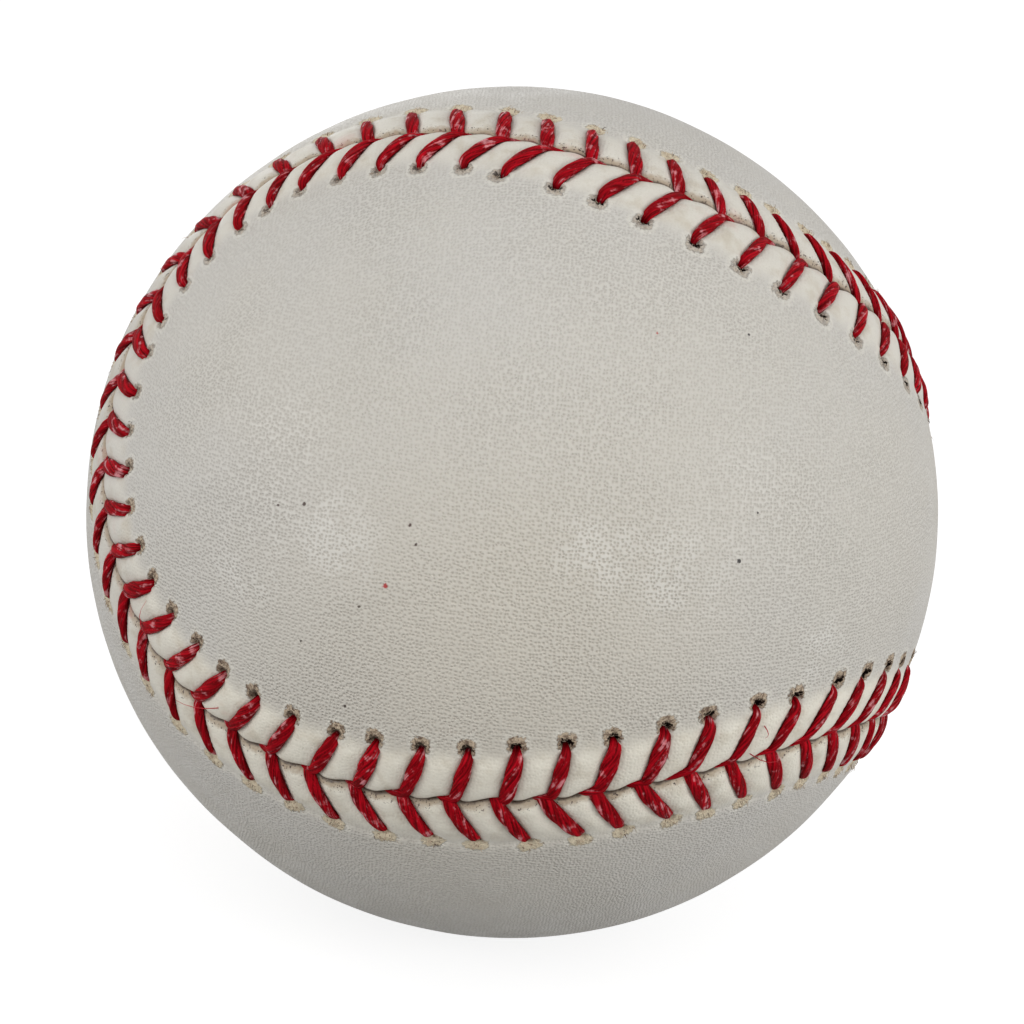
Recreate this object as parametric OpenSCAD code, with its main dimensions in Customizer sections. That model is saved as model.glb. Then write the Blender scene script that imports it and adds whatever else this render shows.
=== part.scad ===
// A baseball in regulation size, built from the core outwards.
// The origin is the centre of the ball, +Z is up, and every layer is a separate solid.

/* [Core] */
// Diameter of the cork core
cork_d = 20.6; // [18:0.1:23]
// Thickness of the black rubber shell round the cork
black_wall = 3.2; // [2.4:0.1:4]
// Thickness of the gasket between the two black halves
gasket_t = 0.8; // [0.4:0.1:1.5]
// Thickness of the red rubber shell round the black one
red_wall = 3.2; // [2.4:0.1:4]

/* [Windings] */
// Thickness of the first winding, of four-ply grey wool
first_winding_t = 14.6; // [13:0.1:16]
// Thickness of the second winding, of three-ply white wool
second_winding_t = 1.8; // [1.2:0.1:2.4]
// Thickness of the third winding, of three-ply grey wool
third_winding_t = 2.3; // [1.7:0.1:2.9]
// Thickness of the finishing winding, of white cotton yarn
finishing_t = 0.5; // [0.3:0.1:0.9]
// Thickness of the cement film over the windings
cement_t = 0.1; // [0.05:0.05:0.2]

/* [Cover] */
// Room between the cement film and the leather
cover_room = 0.05; // [0.02:0.01:0.1]
// Thickness of the leather
leather_t = 1.2; // [1.1:0.05:1.5]
// Width of the slit between the two panels
seam_gap = 0.2; // [0.1:0.05:0.3]
// How far the lobes of the panels swell
lobe_share = 0.5; // [0.46:0.01:0.54]
// How far the seam swings to each side of the ball's middle
swing_share = 1.16; // [1.08:0.01:1.24]
// Turn of the cover about X, as the ball lies
lie_turn = 20; // [0:1:45]

/* [Stitches] */
// Number of stitches on each panel, an even number
stitches = 108; // [100:2:112]
// Distance of the needle holes from the seam
hole_inset = 4.2; // [3.8:0.1:4.6]
// Diameter of the thread where it goes through a needle hole
thread_d = 0.8; // [0.7:0.05:0.9]
// Width of a stitch where it swells on the leather
stitch_w = 1.24; // [1.1:0.02:1.4]
// Width of a stitch at its two ends
stitch_end_w = 0.4; // [0.3:0.02:0.5]
// Height of a stitch's middle line above the leather
stitch_lift = 0.15; // [0.1:0.01:0.25]
// Room round the thread in its hole and in the bed pressed into the leather
thread_room = 0.05; // [0.02:0.01:0.08]
// Depth of the rounded top of the thread below the leather, at a needle hole
shoulder_depth = 0.1; // [0.05:0.01:0.2]

/* [Hidden] */
$fn = 64;

// Radii of the layers, each one seated on the layer below
cork_r = cork_d / 2;
black_r = cork_r + black_wall;
red_r = black_r + red_wall;
first_r = red_r + first_winding_t;
second_r = first_r + second_winding_t;
third_r = second_r + third_winding_t;
finishing_r = third_r + finishing_t;
cement_r = finishing_r + cement_t;
cover_inner_r = cement_r + cover_room;
ball_r = cover_inner_r + leather_t;

// How far a cutting shape runs past what it cuts
overrun = 1;
// Reach of the wedge that cuts a panel out of the leather ball, in ball radii
wedge_reach_share = 3;

// Places of a stitch along the seam, in steps from one stitch to the next.
// A stitch on the front panel runs from its hole to a tail that lies ahead in the seam,
// and one on the back panel starts beside that tail and runs back to its own hole.
first_hole_share = 0.29;
front_tail_share = 0.69;
back_start_share = 0.45;
back_hole_share = -0.2;

// How far the hand-sewn seam wanders sideways from its even line, as shares of the ball's
// radius: the cosine and the sine share of one wave round the seam, of two waves, and so on
wander_shares = [
  [-0.0023, 0.0010],
  [0.0022, 0.0030],
  [0.0032, 0.0050],
  [-0.0084, -0.0039],
  [0.0158, -0.0163]
];

// Steps in which the seam is measured, and the small turn that gives its direction
seam_steps = 720;
small_turn = 0.25;
// Sides of a panel's edge between one stitch and the next
sides_per_stitch = 2;

function unit(v) = v / norm(v);

// The even line of the seam is closed, with t from 0 to 360 degrees. Half turns about X, Y
// and Z each bring it back onto itself.
function even_line(t) = [
  -swing_share * sin(2 * t),
  -cos(t) - lobe_share * cos(3 * t),
  sin(t) - lobe_share * sin(3 * t)
];
function even_dir(t) = unit(even_line(t));
function even_heading(t) = unit(even_dir(t + small_turn) - even_dir(t - small_turn));

// The seam itself: the even line, moved sideways by its wander
function wander(t) =
  let (waves = [for (i = [0:len(wander_shares) - 1]) wander_shares[i] * [cos((i + 1) * t), sin((i + 1) * t)]])
  waves * [for (wave = waves) 1] * 180 / PI;
function seam_dir(t) =
  even_dir(t) * cos(wander(t)) + cross(even_dir(t), even_heading(t)) * sin(wander(t));
function seam_heading(t) = unit(seam_dir(t + small_turn) - seam_dir(t - small_turn));

// Length along the seam against t, so that stitches lie at even steps
seam_dirs = [for (i = [0:seam_steps]) seam_dir(i * 360 / seam_steps)];
seam_lengths = [
  for (
    i = 0, run = 0;
    i <= seam_steps;
    run = run + (i < seam_steps ? norm(seam_dirs[i + 1] - seam_dirs[i]) : 0), i = i + 1
  ) [run, i * 360 / seam_steps]
];
seam_total = seam_lengths[seam_steps][0];
function seam_turn(share) = lookup((share - floor(share)) * seam_total, seam_lengths);

// Direction from the centre to a place on the cover: share is the part of the seam
// already passed, and across is the distance from the seam, plus towards the back panel
function cover_dir(share, across) =
  let (
    t = seam_turn(share),
    here = seam_dir(t),
    sideways = cross(here, seam_heading(t)),
    angle = across / ball_r * 180 / PI
  )
  here * cos(angle) + sideways * sin(angle);

// Ends of stitch number k, as [hole, end in the seam]
function front_ends(k) = [
  cover_dir((k + first_hole_share) / stitches, -hole_inset),
  cover_dir((k + first_hole_share + front_tail_share) / stitches, 0)
];
function back_ends(k) = [
  cover_dir((k + first_hole_share + back_hole_share) / stitches, hole_inset),
  cover_dir((k + first_hole_share + back_start_share) / stitches, 0)
];

// Stands the children on the cover: their X runs from a to b and their Z points outwards
module between(a, b) {
  up = unit(a + b);
  along = unit(b - a);
  beside = cross(up, along);
  multmatrix([
    [along.x, beside.x, up.x, 0],
    [along.y, beside.y, up.y, 0],
    [along.z, beside.z, up.z, 0]
  ])
    children();
}

// Stands the children on the cover at a, with their Z along a and their Y towards b
module standing(a, b) {
  beside = unit(cross(b, a));
  along = cross(a, beside);
  multmatrix([
    [beside.x, along.x, a.x, 0],
    [beside.y, along.y, a.y, 0],
    [beside.z, along.z, a.z, 0]
  ])
    children();
}

// The cover is turned as the ball lies
module as_it_lies() {
  rotate([lie_turn, 0, 0])
    children();
}

module hollow_ball(outer_r, inner_r) {
  difference() {
    sphere(r = outer_r);
    sphere(r = inner_r);
  }
}

// What lies above the plane at height z, out to the radius r
module above(z, r) {
  translate([-r - overrun, -r - overrun, z])
    cube([2 * (r + overrun), 2 * (r + overrun), r + overrun]);
}

module cork_core() {
  color("#b98a5a")
    sphere(r = cork_r);
}

module black_rubber_half() {
  color("#29292b")
    intersection() {
      hollow_ball(black_r, cork_r);
      above(gasket_t / 2, black_r);
    }
}

module rubber_gasket() {
  color("#8f3a2c")
    difference() {
      intersection() {
        hollow_ball(black_r, cork_r);
        above(-gasket_t / 2, black_r);
      }
      above(gasket_t / 2, black_r);
    }
}

// The red halves meet on a plane that stands across the plane of the black ones
module red_rubber_half() {
  color("#a5402f")
    rotate([0, 90, 0])
      intersection() {
        hollow_ball(red_r, black_r);
        above(0, red_r);
      }
}

module first_wool_winding() {
  color("#8d8a85")
    hollow_ball(first_r, red_r);
}

module second_wool_winding() {
  color("#e4ded0")
    hollow_ball(second_r, first_r);
}

module third_wool_winding() {
  color("#9a9792")
    hollow_ball(third_r, second_r);
}

module finishing_winding() {
  color("#ece7db")
    hollow_ball(finishing_r, third_r);
}

module cement_coat() {
  color("#cfc39f")
    hollow_ball(cement_r, finishing_r);
}

// A wedge from the centre outwards through one panel's edge. Its cap joins each place on
// the edge to the one opposite, so the cap stays well outside the ball.
module panel_wedge(first_share, inset) {
  sides = sides_per_stitch * stitches;
  half = sides / 2;
  reach = wedge_reach_share * ball_r;
  edge = [for (i = [0:sides - 1]) cover_dir(first_share + i / sides, inset) * reach];
  walls = [for (i = [0:sides - 1]) [sides, i, (i + 1) % sides]];
  tips = [[0, sides - 1, 1], [half - 1, half + 1, half]];
  cap = [for (i = [1:half - 2]) [i, sides - i, sides - i - 1, i + 1]];
  polyhedron(concat(edge, [[0, 0, 0]]), concat(walls, tips, cap));
}

// The front panel's lobes end an eighth of the way round the seam, the back panel's at three eighths
module front_wedge() {
  panel_wedge(1 / 8, -seam_gap / 2);
}

module back_wedge() {
  panel_wedge(3 / 8, seam_gap / 2);
}

// A stitch on the leather: round, swelling in the middle and thin at both ends
module swell(length, middle_r, end_r) {
  rise = middle_r - end_r;
  arc_r = (length * length / 4 + rise * rise) / (2 * rise);
  rotate([0, 90, 0])
    rotate_extrude()
      intersection() {
        translate([middle_r - arc_r, 0])
          circle(r = arc_r, $fn = 4 * $fn);
        translate([0, -length / 2])
          square([middle_r + overrun, length]);
      }
}

// One stitch between its hole and its end in the seam, with the thread that goes down the hole
module stitch(ends) {
  between(ends[0], ends[1])
    translate([0, 0, ball_r + stitch_lift])
      swell(norm(ends[1] - ends[0]) * ball_r, stitch_w / 2, stitch_end_w / 2);
  standing(ends[0], ends[1]) {
    translate([0, 0, cement_r])
      cylinder(h = ball_r - shoulder_depth - cement_r, d = thread_d);
    translate([0, 0, ball_r - shoulder_depth])
      sphere(d = thread_d);
  }
}

// The room of one stitch in the leather: the bed it is pulled into and its needle hole
module stitch_bed(ends) {
  between(ends[0], ends[1])
    translate([0, 0, ball_r + stitch_lift])
      swell(
        norm(ends[1] - ends[0]) * ball_r + 2 * thread_room,
        stitch_w / 2 + thread_room,
        stitch_end_w / 2 + thread_room
      );
  standing(ends[0], ends[1])
    translate([0, 0, cement_r - overrun])
      cylinder(h = ball_r + overrun - (cement_r - overrun), d = thread_d + 2 * thread_room);
}

module cover_panel_front() {
  color("#e9e6dd")
    as_it_lies()
      difference() {
        intersection() {
          hollow_ball(ball_r, cover_inner_r);
          front_wedge();
        }
        for (k = [0:stitches - 1])
          stitch_bed(front_ends(k));
      }
}

module cover_panel_back() {
  color("#e9e6dd")
    as_it_lies()
      difference() {
        intersection() {
          hollow_ball(ball_r, cover_inner_r);
          back_wedge();
        }
        for (k = [0:stitches - 1])
          stitch_bed(back_ends(k));
      }
}

// The two needles cross over at every stitch, so each one sews on the two panels in turn
module needle_run(first) {
  color("#b3122b")
    as_it_lies() {
      for (k = [first:2:stitches - 1])
        stitch(front_ends(k));
      for (k = [1 - first:2:stitches - 1])
        stitch(back_ends(k));
    }
}

cork_core();
black_rubber_half();  // black_rubber_shell_upper
rubber_gasket();
mirror([0, 0, 1]) black_rubber_half();  // black_rubber_shell_lower
mirror([1, 0, 0]) red_rubber_half();  // red_rubber_shell_left
red_rubber_half();  // red_rubber_shell_right
first_wool_winding();
second_wool_winding();
third_wool_winding();
finishing_winding();
cement_coat();
cover_panel_front();
cover_panel_back();
needle_run(0);  // thread_first_needle
needle_run(1);  // thread_second_needle
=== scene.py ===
import math
import bpy
import numpy as np
from mathutils import Matrix, Vector


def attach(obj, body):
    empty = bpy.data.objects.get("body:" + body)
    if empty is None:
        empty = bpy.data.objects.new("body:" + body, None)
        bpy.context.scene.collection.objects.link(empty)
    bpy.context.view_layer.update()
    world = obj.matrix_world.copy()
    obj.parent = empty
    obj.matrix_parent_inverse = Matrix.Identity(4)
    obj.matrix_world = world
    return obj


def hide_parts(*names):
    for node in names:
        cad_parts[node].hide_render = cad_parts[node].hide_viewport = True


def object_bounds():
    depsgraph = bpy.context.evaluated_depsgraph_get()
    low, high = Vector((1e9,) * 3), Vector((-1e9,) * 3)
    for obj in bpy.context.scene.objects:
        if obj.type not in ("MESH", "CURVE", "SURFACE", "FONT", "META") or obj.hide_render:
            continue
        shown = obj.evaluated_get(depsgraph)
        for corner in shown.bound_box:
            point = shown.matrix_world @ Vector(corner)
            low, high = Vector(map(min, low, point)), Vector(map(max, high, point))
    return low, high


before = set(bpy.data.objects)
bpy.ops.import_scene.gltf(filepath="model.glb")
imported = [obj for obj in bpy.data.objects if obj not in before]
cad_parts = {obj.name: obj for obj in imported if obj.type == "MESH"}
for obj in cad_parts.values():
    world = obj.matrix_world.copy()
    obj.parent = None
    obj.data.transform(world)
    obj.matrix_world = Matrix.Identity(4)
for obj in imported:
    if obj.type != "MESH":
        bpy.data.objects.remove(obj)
cad_box = [list(corner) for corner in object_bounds()]

# Cork core. A ball of ground cork bound with a little rubber and moulded round.
# Nothing fixes it: the two black rubber shells close on it.


def add_node(tree, kind, settings=None, **sockets):
    """One node. Each socket takes a value or another node's output; i3 means input number 3."""
    new = tree.nodes.new("ShaderNode" + kind)
    for key, value in (settings or {}).items():
        setattr(new, key, value)
    for key, value in sockets.items():
        socket = new.inputs[int(key[1:])] if key[1:].isdigit() else new.inputs[key.replace("_", " ")]
        if isinstance(value, bpy.types.NodeSocket):
            tree.links.new(value, socket)
        else:
            socket.default_value = value
    return new


def start_material(name):
    """A new material, with its tree and its shader."""
    material = bpy.data.materials.new(name)
    material.use_nodes = True
    return material, material.node_tree, material.node_tree.nodes["Principled BSDF"]


def join(tree, output, socket):
    tree.links.new(output, socket)


def maths(tree, operation, a, b=0.0, c=0.0, clamp=False):
    made = add_node(tree, "Math", {"operation": operation, "use_clamp": clamp}, i0=a, i1=b, i2=c)
    return made.outputs[0]


def rise(tree, value, low, high, start=0.0, end=1.0):
    """A smooth step from start to end, as value goes from low to high."""
    made = add_node(tree, "MapRange", {"interpolation_type": "SMOOTHSTEP"}, Value=value)
    for key, number in (("From Min", low), ("From Max", high), ("To Min", start), ("To Max", end)):
        made.inputs[key].default_value = number
    return made.outputs["Result"]


def tint(tree, share, first, second):
    """first where share is 0 and second where it is 1. A colour is three numbers or an output."""
    made = add_node(tree, "Mix", {"data_type": "RGBA"})
    share_input, first_input, second_input, colour_output = 0, 6, 7, 2
    for place, value in ((share_input, share), (first_input, first), (second_input, second)):
        if isinstance(value, bpy.types.NodeSocket):
            join(tree, value, made.inputs[place])
        else:
            made.inputs[place].default_value = value if place == share_input else (*value, 1)
    return made.outputs[colour_output]


def millimetres(tree):
    """The place on the piece, in millimetres."""
    place = add_node(tree, "TexCoord").outputs["Object"]
    scaled = add_node(tree, "VectorMath", {"operation": "SCALE"}, i0=place)
    scaled.inputs["Scale"].default_value = 1000
    return scaled.outputs[0]


def clouds(tree, place, size, detail=3.0, rough=0.55):
    """Soft noise with features about size millimetres across, from 0 to 1."""
    return add_node(
        tree, "TexNoise", Vector=place, Scale=1 / size, Detail=detail, Roughness=rough
    ).outputs["Fac"]


def moulded(name, light, dark, grain, roughness, relief):
    """A finish of grains, each a little lighter or darker, with low relief."""
    material, tree, shader = start_material(name)
    place = millimetres(tree)
    cells = add_node(tree, "TexVoronoi", Vector=place, Scale=1 / grain)
    tone = add_node(tree, "SeparateColor", Color=cells.outputs["Color"]).outputs[0]
    grain_share, cloud_share, cloud_size = 0.6, 0.4, 3
    speckle = maths(tree, "MULTIPLY", clouds(tree, place, cloud_size), cloud_share)
    speckle = maths(tree, "MULTIPLY_ADD", tone, grain_share, speckle)
    join(tree, tint(tree, speckle, dark, light), shader.inputs["Base Color"])
    join(tree, rise(tree, speckle, 0, 1, roughness - 0.1, roughness + 0.1), shader.inputs["Roughness"])
    bump = add_node(tree, "Bump", Height=cells.outputs["Distance"], Strength=0.6, Distance=relief / 1000)
    join(tree, bump.outputs[0], shader.inputs["Normal"])
    return material


def dress(node_name, material):
    """A CAD node keeps its shape and takes this finish."""
    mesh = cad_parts[node_name].data
    mesh.materials.clear()
    mesh.materials.append(material)


cork = moulded(
    "cork", light=(0.55, 0.38, 0.22), dark=(0.26, 0.15, 0.07), grain=1.1, roughness=0.85, relief=0.3
)
dress("cork_core", cork)

# Black rubber shells and the gasket between them. Two moulded half shells of hard black rubber
# meet on a thin ring of softer red rubber, which seals the joint.
black_rubber = moulded(
    "black_rubber",
    light=(0.045, 0.044, 0.043),
    dark=(0.018, 0.018, 0.019),
    grain=0.5,
    roughness=0.6,
    relief=0.04,
)
dress("black_rubber_shell_upper", black_rubber)
dress("black_rubber_shell_lower", black_rubber)
gasket_rubber = moulded(
    "gasket_rubber",
    light=(0.40, 0.10, 0.06),
    dark=(0.30, 0.06, 0.04),
    grain=0.4,
    roughness=0.65,
    relief=0.03,
)
dress("rubber_gasket", gasket_rubber)

# Red rubber shells. Two half shells of softer rubber moulded over the black ones, with their
# joint turned across the black joint.
red_rubber = moulded(
    "red_rubber", light=(0.50, 0.11, 0.07), dark=(0.38, 0.07, 0.05), grain=0.6, roughness=0.7, relief=0.05
)
dress("red_rubber_shell_left", red_rubber)
dress("red_rubber_shell_right", red_rubber)

# Windings. Woollen yarn is wound on the tacky pill under tension, first grey, then white, then
# grey, and a finishing winding of white cotton yarn binds them. The turns cross in every direction.


def wound(name, light, dark, yarn, hairiness):
    """Turns of yarn that cross in patches, each patch in a direction of its own. yarn is its
    thickness in millimetres."""
    material, tree, shader = start_material(name)
    place = millimetres(tree)
    one_wave, patch_size, fibre_size = 0.31 / yarn, 9 * yarn, yarn / 4
    turns = None
    for axis, lean in (("X", 0.35), ("Y", 1.25), ("Z", 2.2)):
        turned = add_node(tree, "VectorRotate", {"rotation_type": "EULER_XYZ"}, Vector=place)
        turned.inputs["Rotation"].default_value = (lean, lean / 2, lean / 3)
        wave = add_node(
            tree,
            "TexWave",
            {"bands_direction": axis},
            Vector=turned.outputs[0],
            Scale=one_wave,
            Distortion=1.5,
            Detail=2,
        ).outputs["Fac"]
        patch = clouds(tree, turned.outputs[0], patch_size, 1)
        wave = maths(tree, "MULTIPLY", wave, rise(tree, patch, 0.42, 0.52, 0.35, 1))
        turns = wave if turns is None else maths(tree, "MAXIMUM", turns, wave)
    fibres = clouds(tree, place, fibre_size, 5, 0.7)
    turns = maths(tree, "MULTIPLY_ADD", fibres, hairiness, turns)
    join(tree, tint(tree, rise(tree, turns, 0.1, 1.1), dark, light), shader.inputs["Base Color"])
    shader.inputs["Roughness"].default_value = 0.95
    bump = add_node(tree, "Bump", Height=turns, Strength=0.9, Distance=yarn / 2500)
    join(tree, bump.outputs[0], shader.inputs["Normal"])
    return material


grey_wool = wound(
    "grey_wool", light=(0.38, 0.37, 0.35), dark=(0.10, 0.10, 0.10), yarn=1.3, hairiness=0.5
)
white_wool = wound(
    "white_wool", light=(0.80, 0.76, 0.68), dark=(0.36, 0.33, 0.28), yarn=1.1, hairiness=0.5
)
cotton_yarn = wound(
    "cotton_yarn", light=(0.86, 0.83, 0.76), dark=(0.42, 0.40, 0.36), yarn=0.4, hairiness=0.25
)
dress("first_wool_winding", grey_wool)
dress("third_wool_winding", grey_wool)
dress("second_wool_winding", white_wool)
dress("finishing_winding", cotton_yarn)

# Cement coat. The wound ball is dipped in rubber cement, which dries to a thin tan film and
# holds the leather down.
rubber_cement = moulded(
    "rubber_cement", light=(0.66, 0.58, 0.42), dark=(0.50, 0.42, 0.28), grain=0.8, roughness=0.4, relief=0.05
)
dress("cement_coat", rubber_cement)

# Cover panels. Two figure-eight pieces of white alum-tanned cowhide, laid across each other and
# pulled together edge to edge by the stitches, which dent the leather and make it swell between.
ball_r = 500 * (cad_box[1][2] - cad_box[0][2])
leather_t = 1.2
stitches = 108
first_hole_share = 0.291
hole_inset = 4.2
# the even line of the seam: how far its lobes reach, how wide it swings, and how the ball is turned
lobe_share, swing_share, lie_turn = 0.5, 1.16, math.radians(20)
# the hand-sewn seam wanders sideways: cosine and sine of one wave round it, of two waves and so on
wander_shares = [
    (-0.0023, 0.0010),
    (0.0022, 0.0030),
    (0.0032, 0.0050),
    (-0.0084, -0.0039),
    (0.0158, -0.0163),
]
# a short step of t, to tell which way the seam runs
short_step = 0.004


def even_dir(t):
    """The seam's even line as directions from the centre, t from 0 to 2 pi, turned as the ball lies."""
    x = -swing_share * np.sin(2 * t)
    y = -np.cos(t) - lobe_share * np.cos(3 * t)
    z = np.sin(t) - lobe_share * np.sin(3 * t)
    c, s = math.cos(lie_turn), math.sin(lie_turn)
    line = np.stack([x, y * c - z * s, y * s + z * c], -1)
    return line / np.linalg.norm(line, axis=-1, keepdims=True)


def heading(line_dir, t):
    """The way a line runs at t."""
    ahead = line_dir(t + short_step) - line_dir(t - short_step)
    return ahead / np.linalg.norm(ahead, axis=-1, keepdims=True)


def seam_dir(t):
    """The seam itself: the even line, moved sideways by its wander."""
    here, ahead = even_dir(t), heading(even_dir, t)
    waved = [a * np.cos((i + 1) * t) + b * np.sin((i + 1) * t) for i, (a, b) in enumerate(wander_shares)]
    moved = np.sum(waved, axis=0)[..., None]
    return here * np.cos(moved) + np.cross(here, ahead) * np.sin(moved)


# how far along the seam each t lies, in ball radii, for even spaces between the stitches
seam_t = np.linspace(0, 2 * np.pi, 7201)
seam_steps = np.linalg.norm(np.diff(seam_dir(seam_t), axis=0), axis=1)
seam_run = np.concatenate([[0], np.cumsum(seam_steps)])
spacing = seam_run[-1] * ball_r / stitches


def edge_swell(u):
    """How far the front panel's edge bulges over the seam, most between two stitches."""
    bulge, wave, past_hole = 0.05, 0.17, 0.12
    return bulge + wave * np.cos(2 * np.pi * (u - first_hole_share - past_hole))


def on_cover(u, inward, side, height):
    """Places in millimetres: u counts stitches along the seam, inward is the distance from the
    seam into the panel, side is -1 for the front panel and 1 for the back one."""
    u, inward = np.broadcast_arrays(np.asarray(u, float), np.asarray(inward, float))
    t = np.interp((u / stitches % 1) * seam_run[-1], seam_run, seam_t)
    here, ahead = seam_dir(t), heading(seam_dir, t)
    swell_reach = 1.6
    across = side * inward + edge_swell(u) * np.exp(-((inward / swell_reach) ** 2))
    angle = (across / ball_r)[..., None]
    out = here * np.cos(angle) + np.cross(here, ahead) * np.sin(angle)
    return out * (ball_r + np.asarray(height))[..., None]


def smooth_line(points, count):
    """count places on a smooth line through the points."""
    points = np.asarray(points, float)
    padded = np.vstack([2 * points[0] - points[1], points, 2 * points[-1] - points[-2]])
    at = np.linspace(0, len(points) - 1, count)
    i = np.minimum(at.astype(int), len(points) - 2)
    f = (at - i)[:, None]
    a, b, c, d = padded[i], padded[i + 1], padded[i + 2], padded[i + 3]
    return 0.5 * (2 * b + (c - a) * f + (2 * a - 5 * b + 4 * c - d) * f**2 + (3 * b - a - 3 * c + d) * f**3)


# A stitch on each panel, from its needle hole to the seam: along the seam in mm from its place,
# inward from the seam, height over the ball, half its width and half its height
front_stitch = [
    (-0.05, 4.52, -1.10, 0.42, 0.30),
    (-0.02, 4.36, -0.42, 0.46, 0.33),
    (0.10, 4.00, 0.00, 0.54, 0.36),
    (0.45, 3.20, 0.12, 0.62, 0.39),
    (0.92, 2.20, 0.16, 0.67, 0.41),
    (1.34, 1.30, 0.12, 0.65, 0.39),
    (1.68, 0.62, 0.01, 0.57, 0.34),
    (2.02, 0.12, -0.14, 0.45, 0.28),
    (2.40, -0.12, -0.32, 0.33, 0.21),
    (2.80, -0.20, -0.62, 0.16, 0.13),
]
back_stitch = [
    (-0.62, 4.55, -0.90, 0.34, 0.24),
    (-0.52, 4.36, -0.36, 0.40, 0.29),
    (-0.30, 3.96, -0.02, 0.47, 0.34),
    (0.16, 3.10, 0.10, 0.56, 0.38),
    (0.64, 2.15, 0.14, 0.60, 0.40),
    (1.10, 1.25, 0.10, 0.61, 0.39),
    (1.48, 0.50, -0.04, 0.57, 0.34),
    (1.74, 0.04, -0.30, 0.50, 0.28),
    (1.92, -0.28, -0.75, 0.40, 0.22),
]
line_places, at_hole = 33, 4
hand = np.random.default_rng(7)
stitch_lines = {}
stitch_turns = {}
stitch_tears = {}


def hump(k, middle, reach):
    """1 at stitch number middle, falling to nothing a few stitches away on both sides."""
    return np.exp(-(((k - middle) / reach) ** 2))


for side, points in ((-1, front_stitch), (1, back_stitch)):
    lines = []
    for k in range(stitches):
        # no two stitches of a hand-sewn seam are alike: each leans, reaches and swells its own way
        line = smooth_line(points, line_places)
        down = np.clip(line[:, 1] / hole_inset, 0, 1)
        line[:, 0] += down * hand.normal(0, 0.13) + (1 - down) * hand.normal(0, 0.10)
        line[:, 1] *= 1 + down * hand.normal(0, 0.025)
        line[:, 3] *= hand.normal(1, 0.07)
        line[:, 4] *= hand.normal(1, 0.06)
        if side < 0:
            # some ends run on over the seam, slack and thin; a few stitches are slimmer than the
            # rest, and a few stand upright and wide at the seam
            tail = np.clip((line[:, 0] - 1.9) / 0.9, 0, 1)
            slack = 0.5 + 0.5 * math.sin(0.24 * k + 2.1)
            line[:, 3] *= 1 - 0.2 * hump(k, 32.5, 3.5)
            upright = hump((k + 53) % stitches, 52, 4.5)
            line[:, 0] *= 1 - 0.33 * upright
            line[:, 3] *= 1 + 0.40 * upright * np.clip((1.8 - line[:, 1]) / 1.6, 0, 1)
            line[:, 0] += tail * (1.3 * slack - 0.1 + hand.normal(0, 0.15))
            line[:, 3] *= 1 - 0.32 * slack * np.clip((2.6 - line[:, 1]) / 2.0, 0, 1)
        else:
            # where the seam turns they lie steeper, past the turn finer, and before it some are
            # drawn sharp at their holes
            steep, fine, sharp = hump(k, 25, 5), hump(k, 34, 5), hump(k, 8, 4.5)
            line[:, 0] += down * 0.85 * steep
            line[:, 3] *= (1 - 0.28 * fine) * (1 - 0.55 * sharp * down**2)
        lines.append(line)
    stitch_lines[side] = np.array(lines)
    stitch_turns[side] = hand.uniform(0, 1, stitches)
    # the way the leather has torn out of each hole: along the seam and inward
    lean = 0 if side < 0 else 0.7 * hump(np.arange(stitches), 25, 6) - 0.25
    tear = lean + hand.normal(0, 0.22, stitches)
    tears = np.stack([tear, np.ones(stitches)], 1)
    stitch_tears[side] = tears / np.linalg.norm(tears, axis=1, keepdims=True)


def waves(place, size, seed):
    """Smooth swellings about size millimetres across, from about -1 to 1."""
    draw = np.random.default_rng(seed)
    total = np.zeros(place.shape[:-1])
    for _ in range(14):
        way = draw.normal(0, 1, 3)
        way *= draw.uniform(0.6, 1.5) * np.pi / size / np.linalg.norm(way)
        total += np.sin(place @ way + draw.uniform(0, 2 * np.pi))
    return total / 4


# a distance in mm that stands for "away from every hole and from the seam"
far_off = 9.0


def leather_height(u, inward, side):
    """Height of the leather over the plain ball, in mm, and how far each place is under a stitch."""
    edge_round = 0.42 if side < 0 else 0.34
    back_edge_sink, strip_lift, strip_swell, bed_depth, thread_room = 0.26, 0.10, 0.22, 0.30, 0.12
    short = np.clip(edge_round - inward, 0, edge_round)
    height = np.sqrt(np.clip(edge_round**2 - short**2, 0, None)) - edge_round
    if side > 0:
        height = height - back_edge_sink * np.exp(-inward / 0.5)
    near = np.full(inward.shape, far_off)
    first = np.floor(u - first_hole_share).astype(int)
    for step in (-1, 0, 1):
        k = (first + step) % stitches
        line = stitch_lines[side][k]
        x = (u - first_hole_share - first - step) * spacing
        for j in range(1, line_places, 2):
            gap = np.hypot(x - line[:, j, 0], inward - line[:, j, 1]) / (line[:, j, 3] + thread_room)
            near = np.minimum(near, gap)
    strip = np.exp(-(((inward - 2.1) / 1.75) ** 4))
    bed = np.exp(-((near / 0.95) ** 2))
    swollen = 1 - np.exp(-((near / 1.7) ** 2))
    height = height + strip * (strip_lift + strip_swell * swollen) - bed_depth * bed
    return height, bed


def from_hole(u, inward, side, k):
    """The way in mm from the needle hole of stitch k: across its tear and along it."""
    line, tear = stitch_lines[side][k % stitches], stitch_tears[side][k % stitches]
    x = (u - first_hole_share - k) * spacing - line[..., at_hole, 0]
    y = inward - line[..., at_hole, 1]
    return x * tear[..., 1] - y * tear[..., 0], x * tear[..., 0] + y * tear[..., 1]


def nearest_stitch(u, side):
    """The number of the stitch whose hole is nearest. The back holes lie a little behind."""
    back_lag = 0.1
    return np.round(u - first_hole_share + (back_lag if side > 0 else 0)).astype(int)


steps_per_stitch = 18
cut_edge_row = 0.04
close_rows = [cut_edge_row, 0.06, 0.09, 0.14, 0.21, 0.30, 0.41, 0.54, 0.69, 0.86]
stitched_rows = close_rows + list(np.arange(1.04, 5.5, 0.18))
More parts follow.
